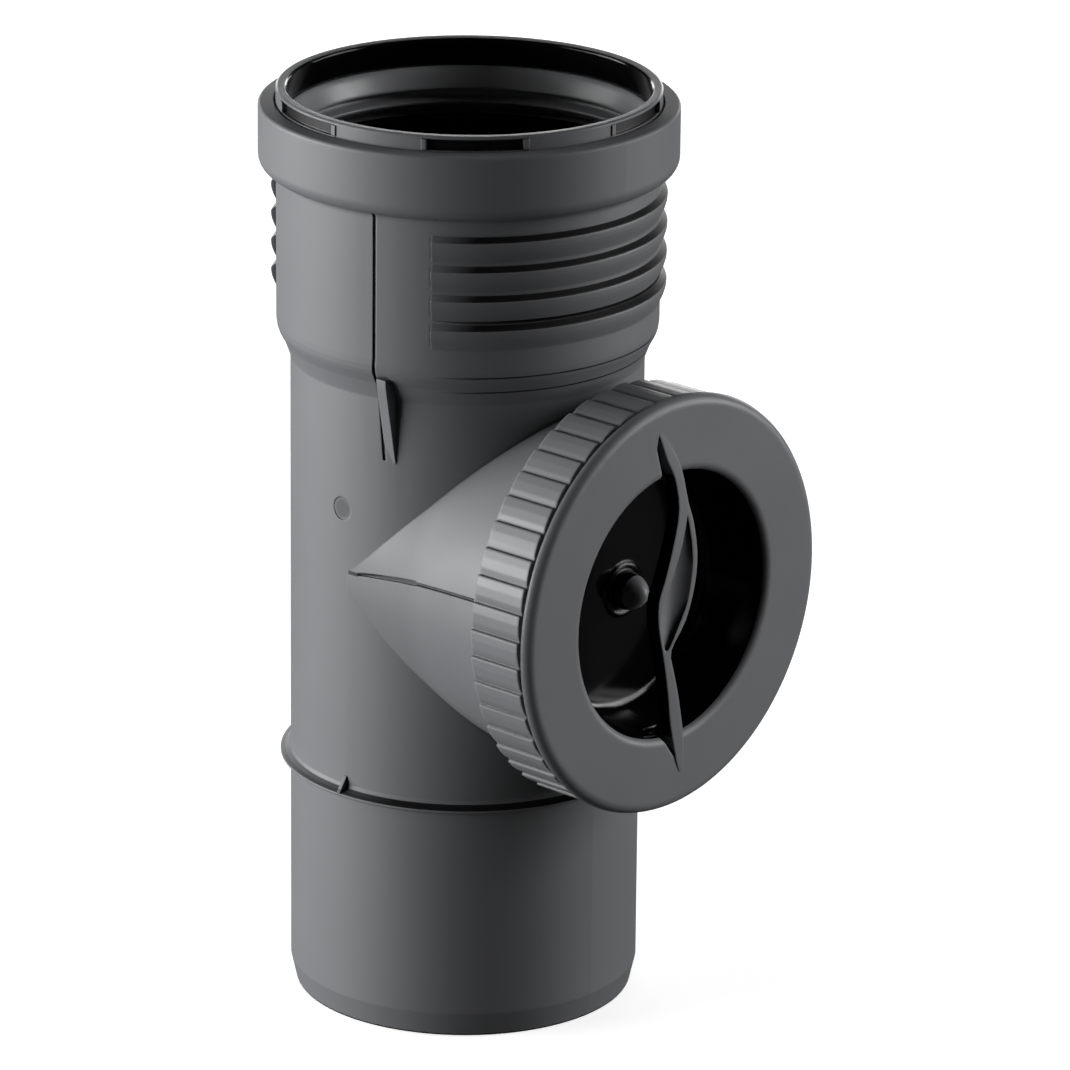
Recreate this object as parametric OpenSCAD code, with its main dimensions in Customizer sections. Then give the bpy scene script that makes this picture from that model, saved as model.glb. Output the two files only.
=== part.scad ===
// Straight access pipe (cleanout) for push-fit drainage, nominal size 110.
// A plain spigot stands below, a ring-seal socket opens above, and a branch at
// right angles is closed by a ribbed screw cap with an S-shaped handle.
//
// Frame, in millimetres: +Z up along the pipe, origin at the centre of the
// spigot's lower end, +X along the branch and out through the cap.
// Made of: pipe_body, socket_seal, seal_retaining_ring, cap_seal, screw_cap.

/* [View] */

// Piece to draw: "all" or the name of one node
// Segments of a full circle
segments = 72; // [36:4:144]

/* [Pipe and spigot] */

// Outside radius of the pipe and the spigot
pipe_r = 55; // [25:0.5:80]
// Wall thickness of the pipe
pipe_wall = 3.4; // [2:0.1:6]
// Radius of the chamfered lower edge
chamfer_r = 53.3; // [45:0.1:55]
// Height of the chamfer on the spigot's end
chamfer_h = 8; // [2:0.5:15]
// Height of the stop collar's edge above the lower end
collar_z = 77; // [50:1:110]
// Radius of the stop collar
collar_r = 58.2; // [56:0.1:62]

/* [Socket] */

// Height at which the pipe starts to widen into the socket
flare_z = 207.4; // [180:0.1:240]
// Outside radius of the plain socket wall
socket_r = 59.35; // [57:0.05:62]
// Radius of the socket's bore
socket_bore_r = 55.6; // [55:0.1:58]
// Outside radius of the bead that holds the seal
bead_r = 64.9; // [62:0.1:70]
// Height of the bead's lower edge
bead_z = 271.9; // [260:0.1:280]
// Height of the bead's top
mouth_z = 288.4; // [280:0.1:300]
// Inside radius of the seal chamber
chamber_r = 61.6; // [59:0.1:66]
// Height of the chamber's floor
chamber_z = 269.2; // [266:0.1:275]

/* [Grip rings] */

// Height of the highest ring's edge
ring_top_z = 260.4; // [240:0.1:265]
// Distance from one ring to the next
ring_pitch = 9.2; // [5:0.1:15]
// Number of grip rings on each side
ring_count = 4; // [1:1:6]
// Radius of a ring's edge
ring_edge_r = 61.3; // [59:0.1:64]
// Half angle that the rings cover on the branch's side
ring_half_angle = 57.5; // [20:0.5:89]
// Half angle that the rings cover on the far side
ring_back_half_angle = 38; // [20:0.5:89]

/* [Branch] */

// Height of the branch's axis
branch_z = 145.6; // [100:0.1:180]
// Outside radius of the branch where it leaves the pipe
branch_r = 55.1; // [40:0.05:56]
// Radius of the branch's bore
port_r = 51.2; // [35:0.1:52]
// Radius of the neck under the cap, below its thread
neck_r = 59.6; // [55:0.1:62]
// Distance from the pipe's axis to the neck's end
neck_end_x = 81.4; // [70:0.1:90]

/* [Screw cap] */

// Distance from the pipe's axis to the skirt's rear edge
skirt_x = 62.5; // [58:0.1:70]
// Radius of the skirt's inside
skirt_bore_r = 62.0; // [60:0.1:63]
// Radius of the skirt at the tips of its ribs
rib_tip_r = 65.4; // [63:0.1:70]
// Radius of the skirt at the roots of its ribs
rib_root_r = 64.45; // [62:0.05:69]
// Number of ribs around the skirt
rib_count = 48; // [12:1:72]
// Turn of the rib pattern, in degrees
rib_phase = 5; // [0:0.5:7.5]
// Widest radius of the flange
flange_r = 66.1; // [60:0.1:72]
// Distance from the pipe's axis to the flange's face
face_x = 87.6; // [80:0.1:95]
// Thickness of the flange
flange_t = 3.2; // [2:0.1:6]
// Radius of the recess at the face
recess_r = 42.2; // [30:0.1:55]
// Radius of the recess near its floor
recess_floor_r = 38.6; // [25:0.1:55]
// Distance from the pipe's axis to the recess floor
floor_x = 66; // [55:0.5:80]
// Wall thickness of the recess
recess_wall = 2.6; // [1.5:0.1:5]

/* [Handle] */

// How far the handle stands in front of the face at its middle
handle_proud = 1.4; // [0:0.1:6]
// Depth of the handle bar
handle_depth = 4.8; // [2:0.1:12]
// Depth of the dish in the handle's eye
dish_depth = 3.2; // [0:0.1:4]

/* [Seals] */

// Radius that the lip seal takes round a pipe
lip_r = 55.45; // [52:0.05:56]
// Height of the lip seal's top, under the retaining ring
seal_top_z = 283.2; // [280:0.1:285]
// Inner radius of the cap's gasket
gasket_in_r = 53; // [51:0.1:58]
// Outer radius of the cap's gasket
gasket_out_r = 59.2; // [56:0.1:61]

/* [Retaining ring] */

// Height of the retaining ring's top
lock_top_z = 293.1; // [289:0.1:300]
// Inner radius of the retaining ring
lock_in_r = 56; // [55:0.1:58]
// Outer radius of the retaining ring above the bead
lock_out_r = 59.4; // [57:0.1:60]
// Depth of the six recessed fields in the ring's outside
lock_field_depth = 1.1; // [0:0.1:2]

/* [Hidden] */

$fn = segments;

bore_r = pipe_r - pipe_wall;
back_x = face_x - flange_t;          // underside of the flange
rib_step = 360/rib_count;

// Handle outline as (y, z) from the cap's axis: edges seen from the front.
HANDLE_LEFT = [[-8.6, 56.6], [-5.2, 47.8], [-1.9, 41.4], [-0.1, 31], [-2.9, 19.4],
               [-6.6, 9.3], [-9.1, 3.2], [-8.9, -5], [-6.3, -16], [-4.0, -27],
               [-2.2, -38], [1.3, -50.6], [3.2, -55]];
HANDLE_RIGHT = [[4.7, -54.5], [4.3, -44.8], [1.2, -30.2], [-1.6, -20.5], [-2.9, -13.6],
                [3.4, -5.4], [7.4, 5.6], [8.3, 15.6], [6.5, 26], [4.2, 32.5],
                [1.3, 43.8], [-2.6, 51], [-7.4, 57]];
// Edge of the dish in the handle's eye.
DISH = [[3.8, 28.6], [1.4, 19.6], [-3.2, 9.4], [-6.3, 3.1], [-7.9, -2.5], [-7.0, -8.6],
        [-4.9, -13.4], [-0.6, -7.6], [4.3, 1.2], [6.3, 10.2], [5.7, 19.6]];
// V-shaped reliefs in the rim beside the handle's ends.
NOTCH_TOP = [[-6.9, 38], [-6.8, 42.8], [-9.6, 52.3], [-8.8, 56.4], [-5, 50], [0.6, 41], [1, 38]];
NOTCH_FOOT = [[-8.2, -36], [-7.4, -38.4], [-1.4, -47], [2.6, -52], [2.4, -47], [0.6, -40], [0, -36]];

// Smooth open curve through points, n steps a span.
function smooth_span(a, b, c, d, t) =
    0.5*(2*b + (c - a)*t + (2*a - 5*b + 4*c - d)*t*t + (3*b - a - 3*c + d)*t*t*t);
function smooth(p, n = 3) = concat(
    [for (i = [0:len(p) - 2], k = [0:n - 1])
        smooth_span(p[max(i - 1, 0)], p[i], p[i + 1], p[min(i + 2, len(p) - 1)], k/n)],
    [p[len(p) - 1]]);

// Points along an arc about c, from angle a0 to a1, in n steps.
function arc(c, r, a0, a1, n = 5) = [for (i = [0:n]) let (a = a0 + (a1 - a0)*i/n) c + r*[cos(a), sin(a)]];

// Puts work drawn about +Z, with its height as x, onto the branch's axis.
module on_branch() translate([0, 0, branch_z]) rotate([0, 90, 0]) children();
// A prism on the branch's axis from a (y, z) outline, from x0 to x1.
module branch_prism(points, x0, x1) on_branch() translate([0, 0, x0])
    linear_extrude(x1 - x0) polygon([for (q = points) [-q[1], q[0]]]);
// Turns children about +Z to a list of angles.
module at(angles) for (a = angles) rotate(a) children();
// A wedge about +Z, from -half to +half degrees.
module wedge(half, r, z0, z1) translate([0, 0, z0]) linear_extrude(z1 - z0)
    polygon([[0, 0], for (a = [-half:half/2:half + 0.01]) r*[cos(a), sin(a)]]);

// Outside of the moulding about the pipe's axis.
module run_outside() rotate_extrude() polygon(concat(
    [[0, 0]], arc([chamfer_r - 0.6, 0.6], 0.6, -90, -15, 2), [[pipe_r, chamfer_h],
    [pipe_r, collar_z - 1.3], [collar_r - 0.3, collar_z - 0.9], [collar_r, collar_z - 0.6], [collar_r, collar_z - 0.1],
    [collar_r - 0.2, collar_z + 0.1], [pipe_r + 1.7, collar_z + 0.4], [pipe_r + 0.5, collar_z + 1.2],
    [pipe_r, collar_z + 2.3],
    [pipe_r, flare_z], [pipe_r + 0.2, flare_z + 0.8], [pipe_r + 1.9, flare_z + 5.5],
    [socket_r - 1.5, flare_z + 7.2], [socket_r - 0.75, flare_z + 8.6], [socket_r - 0.3, flare_z + 9.9],
    [socket_r - 0.06, flare_z + 11.6], [socket_r, flare_z + 13.5]],
    [[socket_r, bead_z - 6.2], [socket_r + 0.12, bead_z - 5.4], [socket_r + 0.45, bead_z - 4.9], [socket_r + 1.2, bead_z - 4.5]],
    arc([bead_r - 4.5, bead_z + 0.1], 4.5, -74, 0, 8),
    arc([bead_r - 1, mouth_z - 1.3], 1, 0, 78, 4), [[60.4, mouth_z], [0, mouth_z]]));

// Bore, socket and seal chamber.
module run_inside() rotate_extrude() polygon([
    [0, -1], [bore_r, -1], [bore_r, flare_z - 0.4], [socket_bore_r, flare_z + 8.9],
    [socket_bore_r, chamber_z - 1.6], [chamber_r - 2.2, chamber_z - 0.4], [chamber_r - 0.7, chamber_z + 0.8],
    [chamber_r, chamber_z + 2.4], [chamber_r, mouth_z - 1.8],
    [60.1, mouth_z - 0.8], [60.1, mouth_z + 1], [0, mouth_z + 1]]);

// Rings with a chamfer above each edge and a bowed flank below, on the two sides that
// the mould leaves free.
module grip_rings() intersection() {
    rotate_extrude() for (i = [0:ring_count - 1]) translate([0, ring_top_z - i*ring_pitch])
        polygon([[socket_r - 1.5, 1.6], [socket_r, 1.6], [ring_edge_r - 0.15, 0.15], [ring_edge_r, -0.3],
                 [ring_edge_r, -0.9], [ring_edge_r - 0.13, -2.1], [ring_edge_r - 0.5, -3.4], [ring_edge_r - 1.05, -4.7],
                 [ring_edge_r - 1.6, -5.8], [socket_r - 0.1, -6.8], [socket_r - 1.5, -6.8]]);
    union() {
        wedge(ring_half_angle, 80, 210, 275);
        rotate(180) wedge(ring_back_half_angle, 80, 210, 275);
    }
}

// Branch, flared towards the neck that carries the cap's thread.
module branch_outside() on_branch() rotate_extrude() polygon(concat([
    [0, 1.5], [branch_r, 1.5]], arc([branch_r + 80, 26], 80, 180, 174.6, 4), [[57.6, 57.5], [59, 60.2], [neck_r, 61.6],
    [neck_r, neck_end_x - 0.8], [neck_r - 0.8, neck_end_x], [0, neck_end_x]]));

// Tapered ribs under the socket's shoulder, front and back, with sides square to the Y axis.
module gussets() for (s = [-1, 1]) translate([15.2, 0, 0]) rotate([90, 0, 90]) linear_extrude(3.8)
    polygon([for (q = [[50, flare_z + 7.4], [56.5, flare_z + 7.4], [56.3, flare_z + 5], [51.9, flare_z - 20], [50, flare_z - 20]])
        [s*q[0], q[1]]]);

// Shallow lines that the mould leaves on both sides: down the socket beside the gusset,
// and along the branch, where it is wider next to the pipe. Each is (x, z) from the frame.
module parting_lines() {
    intersection() {
        rotate([90, 0, 0]) linear_extrude(160, center = true) polygon([
            [14.6, bead_z - 4.5], [14.6, flare_z + 14], [13.2, flare_z], [14.7, flare_z - 19.5],
            [15.7, flare_z - 19.5], [14.3, flare_z], [15.6, flare_z + 14], [15.6, bead_z - 4.5]]);
        rotate_extrude() polygon([[pipe_r - 0.5, flare_z - 25], [pipe_r - 0.5, flare_z], [socket_r - 0.55, flare_z + 12],
            [socket_r - 0.55, bead_z], [80, bead_z], [80, flare_z - 25]]);
    }
    intersection() {
        translate([0, 0, branch_z]) rotate([90, 0, 0]) linear_extrude(160, center = true) polygon([
            [5.9, 3.8], [15.4, 5.7], [23.8, 6.9], [30.5, 7.5], [30.5, 7.1], [41.3, 7.85], [57.3, 8.7],
            [57.3, 7.9], [41.3, 7.05], [30.5, 6.3], [30.5, 5.9], [23.8, 5.4], [15.4, 4.5], [5.9, 3.4]]);
        on_branch() rotate_extrude() polygon([
            [branch_r - 0.8, 0], [branch_r - 0.7, 30], [57.1, 57.5], [57.1, 70], [80, 70], [80, 0]]);
    }
}

module pipe_body() color("#3b3c3e") difference() {
    union() {
        run_outside();
        grip_rings();
        branch_outside();
        gussets();
        // small witness ribs on the stop collar
        at([-89, 89]) rotate([90, 0, 0]) linear_extrude(1.3, center = true)
            polygon([[pipe_r - 1, collar_z - 0.6], [collar_r, collar_z - 0.6], [collar_r, collar_z + 0.4],
                     [pipe_r + 0.2, collar_z + 5], [pipe_r - 1, collar_z + 5]]);
    }
    run_inside();
    on_branch() cylinder(r = port_r, h = neck_end_x + 1);
    parting_lines();
    // bare ejector mark on each side
    for (s = [-1, 1]) translate([-0.7, s*(pipe_r - 0.3), branch_z + 23.6])
        rotate([-90*s, 0, 0]) cylinder(r = 3.7, h = 3);
}

// Two-lip seal, drawn as it lies round a pipe that has been pushed in.
module socket_seal() color("#1b1b1c") rotate_extrude() polygon([
    [56.3, seal_top_z + 1.1], [57.6, seal_top_z], [chamber_r, seal_top_z], [chamber_r, chamber_z + 3],
    [chamber_r - 1.2, chamber_z + 0.9], [58.4, chamber_z + 0.5], [lip_r, 272.2], [lip_r, 273.9], [57.9, 274.4], [57.7, 280],
    [lip_r + 0.6, 277.2], [lip_r, 277.4], [lip_r, 278.6]]);

// Snap-in ring that holds the seal; six fields of its outside are set back.
module seal_retaining_ring() color("#2a2b2d") union() {
    difference() {
        rotate(8) rotate_extrude() polygon([
            [lock_in_r, seal_top_z + 1.6], [57.6, seal_top_z], [chamber_r - 0.1, seal_top_z],
            [chamber_r - 0.1, seal_top_z + 2.8], [lock_out_r, seal_top_z + 4.3],
            [lock_out_r, lock_top_z - 0.5], [lock_out_r - 0.6, lock_top_z],
            [lock_in_r + 0.7, lock_top_z - 0.1], [lock_in_r, lock_top_z - 0.8]]);
        intersection() {
            rotate(8) rotate_extrude() translate([lock_out_r - lock_field_depth, mouth_z + 0.2])
                square([3, lock_top_z - mouth_z - 1.2]);
            union() at([15:60:315]) wedge(15, 80, 285, 300);
        }
    }
    at([0:30:330]) translate([lock_out_r - 1.4, -0.8, mouth_z + 0.4]) cube([1.75, 1.6, 3.2]);
}

// Flat gasket between the neck's end and the flange.
module cap_seal() color("#151516") on_branch() translate([0, 0, neck_end_x + 0.1]) difference() {
    cylinder(r = gasket_out_r, h = back_x - neck_end_x - 0.2);
    translate([0, 0, -1]) cylinder(r = gasket_in_r, h = 6);
}

// Flange, recess and skirt core of the cap as one turned profile.
module cap_profile() on_branch() rotate_extrude() polygon(concat(
    [[0, floor_x]], arc([recess_floor_r - 3, floor_x + 3], 3, -90, -8),
    arc([recess_r + 2.6, face_x - 2.6], 2.6, 172, 90),
    arc([flange_r - 3.2, face_x - 3.2], 3.2, 90, 8, 7), arc([flange_r - 0.5, face_x - 2.75], 0.5, 0, -90, 2),
    [[63.3, face_x - 3.35], [63.3, face_x - 4.5], [rib_root_r - 0.3, face_x - 4.75], [rib_root_r, face_x - 5],
     [rib_root_r, skirt_x + 0.5], [rib_root_r - 0.5, skirt_x], [skirt_bore_r + 0.3, skirt_x],
     [skirt_bore_r, skirt_x + 0.5], [skirt_bore_r, back_x - 0.6], [skirt_bore_r - 0.6, back_x],
     [recess_r + recess_wall - 0.4, back_x]],
    arc([recess_floor_r - 1.4, floor_x + 1.4], recess_wall + 1.4, -8, -90), [[0, floor_x - recess_wall]]));

// Saw-tooth ribs: each rises in one step and falls back smoothly.
module cap_ribs() on_branch() rotate(90 + rib_phase) translate([0, 0, skirt_x + 0.9]) difference() {
    linear_extrude(face_x - 5.1 - skirt_x - 0.9) polygon([for (k = [0:rib_count - 1], q = [
        [rib_root_r - 0.4, -0.03], [rib_tip_r, 0], [rib_tip_r - 0.05, 0.35], [rib_tip_r - 0.4, 0.7], [rib_root_r, 0.93]])
        q[0]*[cos((k + q[1])*rib_step), sin((k + q[1])*rib_step)]]);
    translate([0, 0, -1]) cylinder(r = skirt_bore_r + 1, h = 40);
}

// Handle bar: an S-shaped blade whose front bows slightly, with a dished eye.
module handle() difference() {
    intersection() {
        branch_prism(concat(smooth(HANDLE_LEFT), smooth(HANDLE_RIGHT)), 70, 100);
        translate([0, 20, branch_z]) rotate([90, 0, 0]) linear_extrude(40) polygon(concat(
            [for (z = [-60:10:60]) [face_x + handle_proud*(1 - pow(z/58, 2)), z]],
            [for (z = [60:-20:-60]) [face_x + handle_proud - handle_depth*(abs(z) < 50 ? 1 : 0.9), z]]));
    }
    intersection() {
        branch_prism(smooth(DISH), 70, 100);
        scoop();
    }
}

// Spindle that hollows the handle's eye: deepest near its left edge, running out to its right.
module scoop() translate([face_x + handle_proud + 4, -0.9, branch_z + 6]) rotate([-12, 0, 0])
    rotate_extrude() polygon(concat([[0, 26], [0, -26]],
        [for (t = [-1:0.125:1]) [3.6 + (dish_depth + 0.6)*(1 - t*t), 26*t]]));

// Pointed nub on the recess floor, with a low ring around it.
module nub() on_branch() translate([0, 0, floor_x - 0.5]) rotate_extrude() polygon(concat(
    [[0, 0], [8.7, 0], [8.7, 0.9], [8.3, 1.3], [7.2, 1.3], [6.9, 0.9]],
    smooth([[6.3, 0.9], [6.05, 2.6], [5.4, 5.2], [4.1, 7.6], [2.3, 9.3], [0.9, 9.95]], 2), [[0, 10.1]]));

module screw_cap() color("#2f3032") union() {
    difference() {
        union() {
            cap_profile();
            cap_ribs();
            // walls behind the deeper part of each relief
            intersection() {
                on_branch() difference() {
                    cylinder(r = port_r - 0.8, h = back_x + 0.5);
                    cylinder(r = recess_r - 0.3, h = face_x);
                }
                union() {
                    translate([77.5, -11, branch_z + 37]) cube([back_x - 77, 13, 15]);
                    translate([77.5, -10.5, branch_z - 52]) cube([back_x - 77, 14, 15]);
                }
            }
        }
        branch_prism(NOTCH_TOP, face_x - 2.3, face_x + 3);
        branch_prism(NOTCH_FOOT, face_x - 2.3, face_x + 3);
        intersection() {
            on_branch() cylinder(r = port_r - 2.8, h = face_x + 2);
            union() {
                branch_prism(NOTCH_TOP, 80, face_x + 3);
                branch_prism(NOTCH_FOOT, 80, face_x + 3);
            }
        }
    }
    handle();
    nub();
}

pipe_body();
socket_seal();
seal_retaining_ring();
cap_seal();
screw_cap();
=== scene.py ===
# %% [markdown]
# # A black polypropylene access pipe
#
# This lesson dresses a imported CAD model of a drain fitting: a straight pipe with a plain spigot
# below, a socket with a rubber seal above, and a side branch that a screw cap closes. When the
# drain is blocked, the cap comes off and a cleaning rod goes in through the branch.
#
# The CAD pieces keep their meshes and get materials. What CAD leaves out is made here as
# surfaces worked out with numpy: the seal's relaxed lips and the two screw threads. Places are
# in the CAD's frame, with +Z up the pipe and +X out through the cap. Blender counts in metres
# and moulds are drawn in millimetres, so `MM` stands wherever a real size does.

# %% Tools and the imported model
from math import cos, pi, radians, sin

import bpy
import numpy as np
from mathutils import Matrix


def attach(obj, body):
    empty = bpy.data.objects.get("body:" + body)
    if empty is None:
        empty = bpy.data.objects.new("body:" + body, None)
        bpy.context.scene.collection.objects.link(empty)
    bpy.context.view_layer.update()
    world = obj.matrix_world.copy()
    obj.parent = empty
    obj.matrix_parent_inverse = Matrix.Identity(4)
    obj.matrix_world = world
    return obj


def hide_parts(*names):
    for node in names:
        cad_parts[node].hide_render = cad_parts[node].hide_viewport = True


MM = 0.001
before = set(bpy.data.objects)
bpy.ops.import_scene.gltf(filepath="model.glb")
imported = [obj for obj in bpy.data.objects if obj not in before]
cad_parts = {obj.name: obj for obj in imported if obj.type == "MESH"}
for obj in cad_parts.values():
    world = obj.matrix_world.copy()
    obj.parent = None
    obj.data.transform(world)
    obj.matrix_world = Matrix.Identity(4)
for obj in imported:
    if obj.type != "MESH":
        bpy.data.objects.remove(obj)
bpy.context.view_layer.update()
print("nodes:", sorted(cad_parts))

# %% [markdown]
# ## The camera
#
# The photograph's upright edges stay almost parallel, so it was taken with a long lens from over
# two metres away, from the front right and slightly above. A camera can be pushed about by hand
# until the picture fits. Here its angles, distance and focal length come instead from a fit to
# the outlines of the mouth, the spigot, the cap and the pipe, which gives the same view each run.
#
# `aim` turns two angles into the three directions that a camera needs, and `stand` puts an
# object there. The lamps will use both again.

# %% Camera
def aim(azimuth, elevation):
    """Right, up and back of something that looks at the pipe, as unit vectors. Back points from the pipe
    to it. Both angles are in degrees: azimuth 0 is -Y, and 90 is +X, where the cap is."""
    az, el = radians(azimuth), radians(elevation)
    back = np.array([sin(az) * cos(el), -cos(az) * cos(el), sin(el)])
    level = np.array([cos(az), sin(az), 0.0])
    return level, np.cross(back, level), back


def stand(name, data, axes, place):
    """A new object at `place` in metres, with its own X, Y and Z along the three `axes`."""
    made = bpy.data.objects.new(name, data)
    turned_and_placed = np.vstack([np.column_stack([*axes, place]), [0, 0, 0, 1]])
    made.matrix_world = Matrix(turned_and_placed.tolist())
    bpy.context.collection.objects.link(made)
    return made


PICTURE_WIDTH, FOCAL_LENGTH = 1070, 6984.7     # in pixels
level, rise, back = aim(42.58, 18.98)
roll = radians(0.6075)                         # the camera was held this far from level
right = level * cos(roll) + rise * sin(roll)
up = rise * cos(roll) - level * sin(roll)
look_at = level * 21.50 * MM + np.array([0, 0, 147.49 * MM])
eye = look_at + back * 2185.8 * MM

lens = bpy.data.cameras.new("long_lens")
lens.sensor_width = 36.0
lens.lens = lens.sensor_width * FOCAL_LENGTH / PICTURE_WIDTH
lens.clip_end = 50.0
bpy.context.scene.camera = stand("camera", lens, (right, up, back), eye)
print("camera at", np.round(eye, 3), "lens", round(lens.lens, 1), "mm")

# %% [markdown]
# ## Colour and nodes
#
# Colours are written as sRGB hex, the way a colour picker shows them. Blender's sockets want
# linear light, so one function turns them. Shader nodes could be wired one call at a time, but
# each would take four or five lines. One more function adds a node with its settings and its
# links in one line, and gives back its outputs, so that a material reads like a recipe.

# %% Colour and node helpers
def linear(hex_colour):
    """sRGB hex to linear light: below 0.04045 divide by 12.92, above it ((c + 0.055) / 1.055) ** 2.4."""
    c = np.array([int(hex_colour[i:i + 2], 16) for i in (1, 3, 5)]) / 255
    c = np.where(c <= 0.04045, c / 12.92, ((c + 0.055) / 1.055) ** 2.4)
    return (*c.tolist(), 1.0)


def add(tree, kind, inputs=None, **settings):
    """Adds one shader node and returns its outputs. `settings` are the node's own attributes. `inputs` go
    to its sockets by name or number: an output of another node is linked, anything else is the value."""
    node = tree.nodes.new("ShaderNode" + kind)
    for name, value in settings.items():
        setattr(node, name, value)
    for socket, value in (inputs or {}).items():
        if isinstance(value, bpy.types.NodeSocket):
            tree.links.new(value, node.inputs[socket])
        else:
            node.inputs[socket].default_value = value
    return node.outputs


def new_material(name):
    """An empty material: returns it, its tree, its Principled shader's sockets and the object coordinates."""
    made = bpy.data.materials.new(name)
    made.use_nodes = True
    tree = made.node_tree
    return made, tree, tree.nodes["Principled BSDF"].inputs, add(tree, "TexCoord")["Object"]


print("#808080 holds this much light:", np.round(linear("#808080")[:3], 3))

# %% [markdown]
# ## Masks from places
#
# A fitting like this is one piece of plastic with two finishes, and the CAD mesh is triangles
# that don't follow where one ends. Painting a texture would need an unwrapped mesh. Here each
# finish, and each place where shade is painted into the colour, gets a mask, 1 where it is and
# 0 elsewhere, worked out in the shader from the place on the piece. Two helpers do what comes back
# again and again: one folds several masks into one, and one measures how far a place is from an
# axis, because almost everything here is turned.

# %% Helpers for masks
def combine(tree, operation, masks):
    """Folds masks into one: MULTIPLY keeps what they share, MAXIMUM takes what any of them has."""
    total = masks[0]
    for mask in masks[1:]:
        total = add(tree, "Math", {0: total, 1: mask}, operation=operation)[0]
    return total


def from_axis(tree, place, centre, across):
    """Distance from a line: the place minus a point on the line, with the part along the line set to
    nought by `across`, and then the length of what is left."""
    offset = add(tree, "VectorMath", {0: place, 1: centre}, operation="SUBTRACT")[0]
    flat = add(tree, "VectorMath", {0: offset, 1: across}, operation="MULTIPLY")[0]
    return add(tree, "VectorMath", {0: flat}, operation="LENGTH")["Value"]


# %% [markdown]
# ## Moulded polypropylene
#
# The fitting is injection-moulded polypropylene, coloured right through with carbon black. The
# outside comes off a finely eroded steel wall. Its tiny pits scatter the light, so black
# plastic looks dark grey and satin there. Inner walls come off polished steel cores and are
# glossy. Their deep black is partly the black itself under a clear reflection, and partly
# painted shade for hollows that little light reaches.
#
# Two materials on two sets of faces would need the mesh cut along the finish. One material that
# mixes both by a mask leaves the mesh alone. Every moulded piece uses the same recipe with its
# own colour and masks.

# %% Skin of a moulding
GRAIN_WIDTH, GRAIN_HEIGHT = 0.8 * MM, 0.02 * MM     # the real grain, 0.1 mm wide, is too fine to show


def skin(tree, place, polish_and_painted_shade, edge_radius):
    """The directions that the light meets: corners rounded by `edge_radius`, as a mould's are, and a noise
    as grain on the satin walls only, because a glossy wall gets one even height, 0.5."""
    grain = add(tree, "TexNoise", {"Vector": place, "Scale": 1 / GRAIN_WIDTH, "Detail": 2.0})[0]
    height = add(tree, "Mix", {0: polish_and_painted_shade, 2: grain, 3: 0.5})[0]
    edges = add(tree, "Bevel", {"Radius": edge_radius}, samples=6)[0]
    return add(tree, "Bump", {"Strength": 1.0, "Distance": GRAIN_HEIGHT,
                              "Height": height, "Normal": edges})[0]


print("grain drawn", GRAIN_WIDTH / MM, "mm wide and", GRAIN_HEIGHT / MM, "mm high")

# %% [markdown]
# ### Two finishes and painted shade in one material
#
# The recipe asks a function, `walls`, where the finishes are. It gives two masks. The first
# marks glossy walls off polished cores: their shine is real, and their black is partly the
# plastic and partly painted shade. The second is painted shade alone, as black but not shiny, on
# slopes that face away from all light and in grooves and hollows. Narrow inner corners get
# painted shade too, since hardly any light finds its way in. The Ambient Occlusion node
# measures that: it says how much open space a place sees nearby.
#
# The gloss isn't the same everywhere either. It wanders a little over some 35 mm, where the melt
# flowed and cooled unevenly, and that keeps a wide plain wall from looking like a drawing.

# %% Two finishes and painted shade in one material
POLISHED_BLACK_AND_PAINTED_SHADE = "#060607"      # carbon black under a wall as smooth as its steel core, and painted shade


def moulded(name, satin_colour, satin_roughness, walls, edge_radius=0.6 * MM):
    """Base colour: the satin one, turned to black by the strongest of three masks: the glossy walls, partly
    painted shade, the painted shade alone, and a painted shade of hollows that grows to 0.8 where little open
    space lies within 1.5 mm. Roughness: the satin one give or take 0.05, or 0.12 on the glossy walls."""
    made, tree, shader, place = new_material(name)
    polish_and_painted_shade, painted_shade = walls(tree, place)
    # painted shade in hollows: the less open space within 1.5 mm, the blacker the colour
    open_sky = add(tree, "AmbientOcclusion", {"Distance": 1.5 * MM}, samples=8, only_local=True)["AO"]
    hollow_painted_shade = add(tree, "MapRange", {"Value": open_sky, "From Min": 0.92, "From Max": 0.55,
                                    "To Max": 0.8})[0]
    # black on the glossy walls and wherever shade is painted
    dark = combine(tree, "MAXIMUM", [polish_and_painted_shade, painted_shade, hollow_painted_shade])
    colour = add(tree, "Mix", {0: dark, 6: linear(satin_colour), 7: linear(POLISHED_BLACK_AND_PAINTED_SHADE)}, data_type="RGBA")[2]
    tree.links.new(colour, shader["Base Color"])
    flow = add(tree, "TexNoise", {"Vector": place, "Scale": 1 / (35 * MM), "Detail": 2.0})[0]
    satin = add(tree, "MapRange", {"Value": flow, "From Min": 0.3, "From Max": 0.7,
                                   "To Min": satin_roughness - 0.05, "To Max": satin_roughness + 0.05})[0]
    tree.links.new(add(tree, "Mix", {0: polish_and_painted_shade, 2: satin, 3: 0.12})[0], shader["Roughness"])
    # the IOR stays at 1.5, near polypropylene's 1.49; a pitted skin gives back half the mirror light
    shader["Specular IOR Level"].default_value = 0.25
    tree.links.new(skin(tree, place, polish_and_painted_shade, edge_radius), shader["Normal"])
    return made


# %% [markdown]
# ### The pipe: bores off a polished core
#
# The melt shrinks onto long steel cores, one for the run and one for the branch, and takes their
# polish: the bores are glossy, and deep black inside, partly as painted shade, since little light
# gets in. Which faces are inside could be asked of their normals, but those of rings and chambers
# point every way. The distance from an axis is surer. Everything nearer to the pipe's axis than
# the middle of its wall is a bore, and so is everything inside the branch's radius, once it is
# past the run. The wall's middle steps outwards where the pipe flares into the socket.

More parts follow.
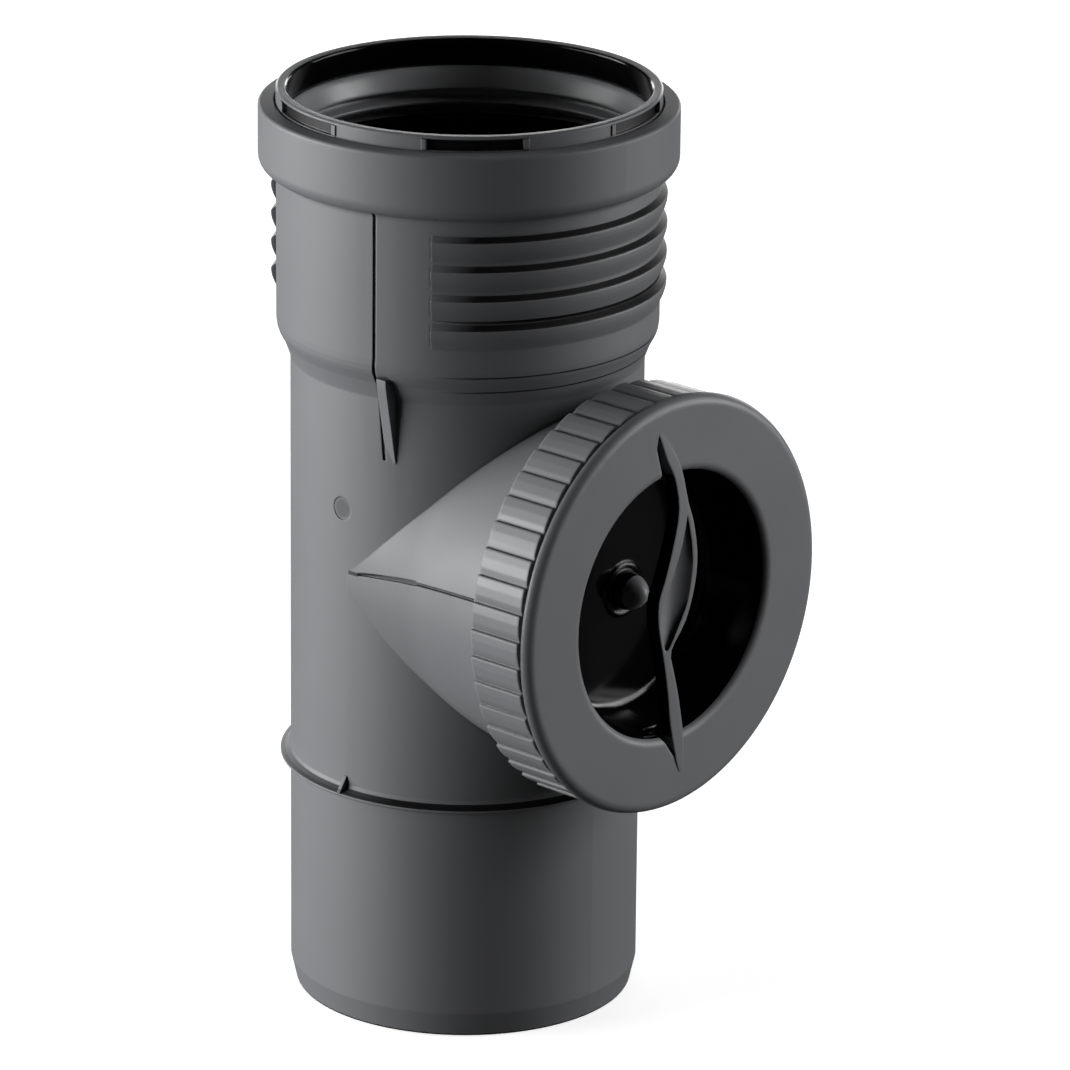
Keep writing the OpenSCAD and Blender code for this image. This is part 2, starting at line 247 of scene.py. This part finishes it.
# %% Bores of the pipe
BRANCH = (0, 0, 145.6 * MM)       # a point on the branch's axis, which runs along X


def wall_middle(tree, z):
    """Radius of the middle of the wall: 53.3 mm in the pipe, 57.4 mm in the socket, straight between."""
    return add(tree, "MapRange", {"Value": z, "From Min": 207 * MM, "From Max": 216.3 * MM,
                                  "To Min": 53.3 * MM, "To Max": 57.4 * MM})[0]


def bores(tree, place, r, middle, front):
    """Glossy walls, black partly as painted shade: 1 in the run's bore, and in the branch's, 52.5 mm in radius,
    on the `front` side only.
    """
    run = add(tree, "Math", {0: r, 1: middle}, operation="LESS_THAN")[0]
    branch_r = from_axis(tree, place, BRANCH, (0, 1, 1))
    port = add(tree, "Math", {0: branch_r, 1: 52.5 * MM}, operation="LESS_THAN")[0]
    return combine(tree, "MAXIMUM", [run, combine(tree, "MULTIPLY", [port, front])])


print("the branch leaves the pipe at z", BRANCH[2] / MM, "mm")

# %% [markdown]
# ### The pipe: grip rings and witness lines
#
# Four rings let wet hands grip the socket. Each has a slope above its crest that faces the dark
# ceiling, and painted shade draws it as a dark band. Two hair lines cross the flare, where parts
# of the mould meet. They could be cut into the mesh, but they are a tenth of a millimetre deep,
# less than its facets show. So their shade is painted here: a band of heights, kept to the
# outside and to the front. Towards the sides, where the lamps reach them, both painted shades fade.

# %% Bands across the socket
RING_TOP, RING_PITCH, RING_SLOPE = 260.4 * MM, 9.2 * MM, 1.6 * MM


def ring_slopes(tree, z, r, front):
    """Painted shade, 1 on the first 1.6 mm above each ring's crest: the height above the top ring, wrapped by
    the pitch.
    The rings stand proud of the socket's 59.35 mm and lie within 15 mm of z 247.2."""
    above = add(tree, "Math", {0: z, 1: RING_TOP}, operation="SUBTRACT")[0]
    above = add(tree, "Math", {0: above, 1: RING_PITCH}, operation="FLOORED_MODULO")[0]
    slope = add(tree, "Math", {0: above, 1: RING_SLOPE}, operation="LESS_THAN")[0]
    rings = add(tree, "Math", {0: z, 1: 247.2 * MM, 2: 15 * MM}, operation="COMPARE")[0]
    proud = add(tree, "Math", {0: r, 1: 59.41 * MM}, operation="GREATER_THAN")[0]
    return combine(tree, "MULTIPLY", [slope, rings, proud, front])


def witness_lines(tree, z, r, middle, front):
    """Painted shade, 1 on two lines 0.5 mm wide around the outside of the flare, at z 217.3 and 212.0."""
    upper = add(tree, "Math", {0: z, 1: 217.3 * MM, 2: 0.25 * MM}, operation="COMPARE")[0]
    lower = add(tree, "Math", {0: z, 1: 212.0 * MM, 2: 0.25 * MM}, operation="COMPARE")[0]
    outside = add(tree, "Math", {0: r, 1: middle}, operation="GREATER_THAN")[0]
    return combine(tree, "MULTIPLY", [combine(tree, "MAXIMUM", [upper, lower]), front, outside])


print("ring crests at", [round((RING_TOP - k * RING_PITCH) / MM, 1) for k in range(4)], "mm")

# %% [markdown]
# ### The pipe: collar, parting line and ejector mark
#
# The stop collar shows how far the spigot goes into the next socket, and its upper slope gets
# painted shade. Along the branch runs the line where the two halves of the mould met. It bows,
# because that joint follows the branch's root, and a power of the distance along it gives the bow.
# On each side sits a round mark, where a pin pushed the hot piece out of the mould. The CAD has
# the line and the mark as shallow cuts, and these masks paint shade into them.

# %% Marks of the mould
MARK = (-0.7 * MM, 55.1 * MM, 169.2 * MM)


def collar_slope(tree, x, z):
    """Painted shade, 1 on a band 1.2 mm high at z 77.6, fading out between x 20 and x -40 mm, towards the back.
    """
    band = add(tree, "Math", {0: z, 1: 77.6 * MM, 2: 0.6 * MM}, operation="COMPARE")[0]
    shade = add(tree, "MapRange", {"Value": x, "From Min": -40 * MM, "From Max": 20 * MM})[0]
    return combine(tree, "MULTIPLY", [band, shade])


def parting_line(tree, x, aside, z):
    """Painted shade in the line's groove, 1 within 0.6 mm of the line: its height is 149.2 mm plus 4.7 mm times
    t ** 0.6, where t goes from 0 at x 5.9 mm to 1 at x 57.3 mm. The line is on both flanks, over 30 mm `aside`
    of the middle."""
    along = add(tree, "MapRange", {"Value": x, "From Min": 5.9 * MM, "From Max": 57.3 * MM})[0]
    bow = add(tree, "Math", {0: along, 1: 0.6}, operation="POWER")[0]
    line_z = add(tree, "Math", {0: bow, 1: 4.7 * MM, 2: 149.2 * MM}, operation="MULTIPLY_ADD")[0]
    near = add(tree, "Math", {0: z, 1: line_z, 2: 0.6 * MM}, operation="COMPARE")[0]
    flank = add(tree, "Math", {0: aside, 1: 30 * MM}, operation="GREATER_THAN")[0]
    before = add(tree, "Math", {0: x, 1: 2 * MM}, operation="GREATER_THAN")[0]
    return combine(tree, "MULTIPLY", [near, flank, before])


def ejector_mark(tree, x, aside, z):
    """Painted shade in the mark's dimple, 0.5 within 2.5 mm of its middle, fading to nothing at its rim, 3.7 mm
    out.
    """
    either_side = add(tree, "CombineXYZ", {0: x, 1: aside, 2: z})[0]
    distance = add(tree, "VectorMath", {0: either_side, 1: MARK}, operation="DISTANCE")["Value"]
    return add(tree, "MapRange", {"Value": distance, "From Min": 3.7 * MM, "From Max": 2.5 * MM,
                                  "To Max": 0.5})[0]


print("ejector marks", MARK[2] / MM, "mm up, one on each side")

# %% [markdown]
# ### The pipe: all masks together
#
# The mould's seam runs all round in the plane of both axes, and the halves mirror each other. So
# the marks need only the distance from that plane, and each is on both sides at once. The
# material takes the strongest of all masks at each place, which needs no order among them.

# %% All walls of the pipe
def pipe_walls(tree, place):
    """Glossy, and black partly as painted shade: the bores. Painted shade alone: the rings' slopes, the
    collar's slope, the witness lines and the marks of the mould. `front` grows from 0 at x 32 mm to 1 at x 43
    mm, `aside` is the distance from the middle plane."""
    x, y, z = add(tree, "SeparateXYZ", {0: place})
    r = from_axis(tree, place, (0, 0, 0), (1, 1, 0))
    middle = wall_middle(tree, z)
    front = add(tree, "MapRange", {"Value": x, "From Min": 32 * MM, "From Max": 43 * MM})[0]
    aside = add(tree, "Math", {0: y}, operation="ABSOLUTE")[0]
    painted_shade = [ring_slopes(tree, z, r, front), witness_lines(tree, z, r, middle, front),
            collar_slope(tree, x, z), parting_line(tree, x, aside, z), ejector_mark(tree, x, aside, z)]
    return bores(tree, place, r, middle, front), combine(tree, "MAXIMUM", painted_shade)


# A middle satin: the soft boxes show as broad, blurred bands, and nothing is mirrored.
body_pp = moulded("moulded_polypropylene", "#626365", 0.50, pipe_walls)
print(body_pp.name, "has", len(body_pp.node_tree.nodes), "nodes")

# %% [markdown]
# ### The cap: a deep polished recess
#
# Fingers reach into the cap's recess and turn it by the bar across. The core that shaped the
# recess was polished, and so were the steep flanks of the bar, while the flange, the bar's
# front and the tip of the nub in the middle are satin. The polished walls are glossy and also
# painted black, partly as painted shade for a recess that little light reaches. Depth alone
# would leave the bar's flanks grey, so the mask also asks which way the surface faces: steep
# means hardly towards +X, and steep faces get the painted shade as well.

# %% Walls of the cap
def cap_walls(tree, place):
    """Glossy, and painted black partly as painted shade: 1 within 42.6 mm of the branch's axis, where it is
    deeper than x 83.5 mm but off the nub, 6.4 mm in radius, or where the surface's own direction has less than
    0.3 of +X in it."""
    branch_r = from_axis(tree, place, BRANCH, (0, 1, 1))
    within = add(tree, "Math", {0: branch_r, 1: 42.6 * MM}, operation="LESS_THAN")[0]
    off_nub = add(tree, "Math", {0: branch_r, 1: 6.4 * MM}, operation="GREATER_THAN")[0]
    x = add(tree, "SeparateXYZ", {0: place})[0]
    deep = add(tree, "Math", {0: x, 1: 83.5 * MM}, operation="LESS_THAN")[0]
    facing = add(tree, "SeparateXYZ", {0: add(tree, "TexCoord")["Normal"]})[0]
    steep = add(tree, "Math", {0: facing, 1: 0.3}, operation="LESS_THAN")[0]
    inside = combine(tree, "MAXIMUM", [combine(tree, "MULTIPLY", [deep, off_nub]), steep])
    polish_and_painted_shade = combine(tree, "MULTIPLY", [within, inside])
    # the same mask is also all of the cap's painted shade
    return polish_and_painted_shade, polish_and_painted_shade


# Slightly paler and glossier than the pipe, with well rounded edges that catch a thin line of light.
cap_pp = moulded("textured_polypropylene", "#666769", 0.42, cap_walls, 1.2 * MM)
print(cap_pp.name, "has", len(cap_pp.node_tree.nodes), "nodes")

# %% [markdown]
# ### The retaining ring
#
# A thin ring snaps into the mouth and holds the seal. It comes from a smaller, better polished
# mould, so it shines more than the body. Its inner wall is a core's, glossy and painted black,
# partly as painted shade. Six fields are set back into its outside, and their backs get painted shade.

# %% Walls of the ring
def ring_walls(tree, place):
    """Glossy, and black partly as painted shade: nearer to the axis than 56.5 mm. Painted shade alone: the
    backs of the fields, 58.3 mm from the axis and within 1.9 mm of z 290.4."""
    z = add(tree, "SeparateXYZ", {0: place})[2]
    r = from_axis(tree, place, (0, 0, 0), (1, 1, 0))
    inner = add(tree, "Math", {0: r, 1: 56.5 * MM}, operation="LESS_THAN")[0]
    field = add(tree, "Math", {0: r, 1: 58.3 * MM, 2: 0.15 * MM}, operation="COMPARE")[0]
    side = add(tree, "Math", {0: z, 1: 290.4 * MM, 2: 1.9 * MM}, operation="COMPARE")[0]
    return inner, combine(tree, "MULTIPLY", [field, side])


# Glossier still: the ring's edges draw fine bright arcs.
ring_pp = moulded("ring_polypropylene", "#626365", 0.35, ring_walls)
print(ring_pp.name, "has", len(ring_pp.node_tree.nodes), "nodes")

# %% [markdown]
# ## Rubber
#
# The seal and the cap's gasket are EPDM, a black rubber. New rubber carries a film of mould
# release and talc, so it looks paler than the plastic around it, with soft, patchy highlights.
# One colour and a roughness that varies over 4 mm patches give that, without any bumps.

# %% Rubber, and every CAD piece dressed
seal_rubber, tree, shader, place = new_material("epdm_rubber")
shader["Base Color"].default_value = linear("#8c8d90")
film = add(tree, "TexNoise", {"Vector": place, "Scale": 1 / (4 * MM), "Detail": 3.0})[0]
patches = add(tree, "MapRange", {"Value": film, "To Min": 0.28, "To Max": 0.42})[0]
tree.links.new(patches, shader["Roughness"])

for node, material in [("pipe_body", body_pp), ("screw_cap", cap_pp), ("seal_retaining_ring", ring_pp),
                       ("socket_seal", seal_rubber), ("cap_seal", seal_rubber)]:
    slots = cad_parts[node].data.materials
    for i in range(len(slots)):
        slots[i] = material
    print(node, "is", material.name)

# %% [markdown]
# ## Meshes from grids
#
# Three pieces are still missing, and each is an outline carried along a path. Blender's Screw
# modifier or a curve with a bevel could make them. A grid of points worked out with numpy says
# their shape as a formula instead, and its rows and columns name the faces by themselves:
# neighbours on the grid are joined. One function serves all three.

# %% Grid to mesh
def piece(name, grid, ring, material, body):
    """Joins neighbours on an (n, m, 3) grid in millimetres. The second direction always closes on itself.
    With `ring` the first does too, and without it each end gets one flat face."""
    n, m = grid.shape[:2]
    i, j = np.meshgrid(np.arange(n if ring else n - 1), np.arange(m), indexing="ij")
    here, below = i * m, (i + 1) % n * m
    quads = np.stack([here + j, below + j, below + (j + 1) % m, here + (j + 1) % m], -1)
    faces = quads.reshape(-1, 4).tolist()
    if not ring:
        faces += [list(range(m)), list(range(n * m - 1, n * m - m - 1, -1))]
    mesh = bpy.data.meshes.new(name)
    mesh.from_pydata((grid.reshape(-1, 3) * MM).tolist(), [], faces)
    mesh.shade_smooth()
    mesh.materials.append(material)
    made = bpy.data.objects.new(name, mesh)
    bpy.context.collection.objects.link(made)
    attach(made, body)
    print(name, "has", len(mesh.polygons), "faces and rides", body)
    return made


# %% [markdown]
# ## The seal, relaxed
#
# The rubber ring sits in a chamber at the mouth. CAD draws it pressed back by a pipe, so that
# the socket's bore is clear. In an open socket its two lips stand inwards: the upper one is the
# grey cone inside the mouth, which guides the pipe in, and the lower one seals.
#
# A simulation could relax the pressed shape, but a turned section is exact and quick. The
# section is a closed outline of radius and height. Cutting its corners twice makes it as round
# as moulded rubber, and 144 copies around the pipe's axis make the ring.

# %% Seal section turned about the pipe
def soften(outline, rounds):
    """Corner cutting: each round puts two points on every side, a quarter in from its ends."""
    for _ in range(rounds):
        following = np.roll(outline, -1, axis=0)
        outline = np.stack([0.75 * outline + 0.25 * following, 0.25 * outline + 0.75 * following], 1)
        outline = outline.reshape(-1, 2)
    return outline


seal_section = np.array([
    (55.9, 284.5), (57.4, 283.1),                               # tip of the guiding cone
    (61.4, 283.1), (61.4, 277.0), (61.4, 271.3),                # back, against the chamber
    (60.0, 269.6), (58.5, 269.3),                               # foot
    (54.4, 272.0), (53.9, 273.0), (55.0, 273.6), (57.6, 274.3),  # lower lip
    (57.2, 279.4),                                              # hollow between the lips
    (55.0, 278.0), (53.3, 277.1), (52.7, 277.6), (53.2, 279.0)])  # edge of the cone
section = soften(seal_section, 2)
turn = np.linspace(0, 2 * pi, 144, endpoint=False)[:, None]     # a copy every 2.5 degrees
radius, height = section.T
lips = np.stack([radius * np.cos(turn), radius * np.sin(turn), height + 0 * turn], -1)
relaxed_lip_seal = piece("relaxed_lip_seal", lips, True, seal_rubber, "pipe_body")
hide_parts("socket_seal")
print("the lips leave", round(2 * radius.min(), 1), "mm for a 110 mm pipe")

# %% [markdown]
# ## The screw thread
#
# The cap turns on a coarse right-hand thread, 7 mm a turn. One ridge stands out of the neck and
# one stands in from the cap's skirt, half a turn's travel apart, so that they never cross. They
# are parts of the two mouldings, hidden until the cap comes off, and they are added to the CAD
# pieces here as thin ridges of the same plastic.
#
# A ridge is a four-sided section carried along a helix. Cut off square, its ends would catch,
# so a real thread runs out: the height sinks to almost nothing at both ends.

# %% Helical ridges
PITCH, AXIS_Z = 7.0, 145.6        # mm
RUN_OUT = radians(25)             # the part of a turn in which the height grows


def ridge(foot_r, crest_r, x0, x1, lead, steps):
    """A helix about the branch's axis: x grows by one pitch a turn. Across it the section goes foot, crest,
    crest, foot, at four offsets from its middle."""
    x = np.linspace(x0, x1, steps)
    angle = 2 * pi * (x - lead) / PITCH
    span = 2 * pi * (x1 - x0) / PITCH
    rise = np.clip(np.minimum(angle - angle[0], angle[-1] - angle) / RUN_OUT, 0.04, 1) * min(1, span)
    across = np.array([-2.3, -1.2, 1.2, 2.3])
    tall = np.array([0.0, 1.0, 1.0, 0.0])
    r = foot_r + (crest_r - foot_r) * tall[None, :] * rise[:, None]
    along = x[:, None] + across[None, :] * (0.4 + 0.6 * rise[:, None])
    return np.stack([along, r * np.cos(angle)[:, None], AXIS_Z + r * np.sin(angle)[:, None]], -1)


STEPS = 220                       # over less than two turns, so a step is about 3 degrees
male = ridge(59.5, 61.4, 66.5, 78.0, 0.0, STEPS)
# this one's crest points inwards, so its section is reversed to keep the faces outwards
female = ridge(62.1, 60.2, 66.8, 79.5, PITCH / 2, STEPS)[:, ::-1]
neck_thread = piece("neck_thread", male, False, body_pp, "pipe_body")
skirt_thread = piece("skirt_thread", female, False, cap_pp, "screw_cap")

# %% [markdown]
# ## The floor
#
# The photograph has a white ground with only a breath of shadow at the pipe's foot. A white
# floor alone would never come out quite white, and it would throw light up at the pipe that the
# photograph doesn't show. So the floor asks who looks. For the camera it is pale paper that
# glows a little, enough to reach white where no shadow falls. For all other rays it is dark.

# %% Floor
SIDE = 6.0                        # metres from the middle to each side, past the picture's edge
GLOW = 0.64                       # with the light that falls on it, just enough for white
floor_mesh = bpy.data.meshes.new("floor")
floor_mesh.from_pydata([(-SIDE, -SIDE, 0), (SIDE, -SIDE, 0), (SIDE, SIDE, 0), (-SIDE, SIDE, 0)],
                       [], [(0, 1, 2, 3)])
floor = bpy.data.objects.new("floor", floor_mesh)
bpy.context.collection.objects.link(floor)
paper, tree, shader, _ = new_material("pale_floor")
shader["Roughness"].default_value = 0.9
shader["Emission Color"].default_value = (1, 1, 1, 1)
seen = add(tree, "LightPath")["Is Camera Ray"]
pale = add(tree, "Mix", {0: seen, 6: linear("#242424"), 7: linear("#e6e6e6")}, data_type="RGBA")[2]
tree.links.new(pale, shader["Base Color"])
glow = add(tree, "Math", {0: seen, 1: GLOW}, operation="MULTIPLY")[0]
tree.links.new(glow, shader["Emission Strength"])
floor_mesh.materials.append(paper)
print("floor", 2 * SIDE, "m wide, material", paper.name)

# %% [markdown]
# ## The light
#
# Black plastic shows its surroundings more than its colour. In the photograph both flanks of
# the pipe are light and the middle is dark, so large soft boxes stood at the left and behind,
# and nothing stood where the camera was. Wide boxes low down draw upright bands of light on a
# pipe. Higher and weaker ones reach over the mouth's edge to the seal.
#
# A lamp is placed by the angles that `aim` takes, so azimuth -45 is to the left of the camera's
# side and 139 is behind at the right. All stand 2 m from a point half-way up the pipe.

# %% Lamps
LAMP_DISTANCE = 2.0               # metres
MIDDLE = np.array([0, 0, 0.15])   # about half-way up the pipe


def softbox(name, azimuth, elevation, width, height, watts):
    """A rectangular lamp, with its sizes in metres, that looks at the middle of the pipe."""
    lamp = bpy.data.lights.new(name, "AREA")
    lamp.shape = "RECTANGLE"
    lamp.size, lamp.size_y = width, height
    lamp.energy = watts
    side, top, out = aim(azimuth, elevation)
    stand(name, lamp, (side, top, out), MIDDLE + out * LAMP_DISTANCE)
    print(name, "gives", watts, "W")


softbox("left_box", -45, 4, 2.0, 0.6, 88)          # the broad light down the left flank
softbox("left_high_box", -52, 23, 1.2, 0.5, 9)     # the right end of the seal, and the ring's edge
softbox("back_high_box", -137, 62, 0.9, 0.65, 2)   # a thin light on the mouth's far edge
softbox("back_box", -141, 4, 1.9, 0.65, 18)        # a bright line on the left outline
softbox("right_box", 139, 4, 1.5, 0.65, 28)        # the narrow light on the right flank
softbox("right_high_box", 134, 24, 0.9, 0.65, 16)  # the left end of the seal
world = bpy.data.worlds.new("studio")
bpy.context.scene.world = world
world.use_nodes = True
sky = world.node_tree.nodes["Background"].inputs
sky["Color"].default_value = (1, 1, 1, 1)
sky["Strength"].default_value = 0.02               # just enough that no shadow is quite black
bpy.context.scene.view_settings.view_transform = "Standard"
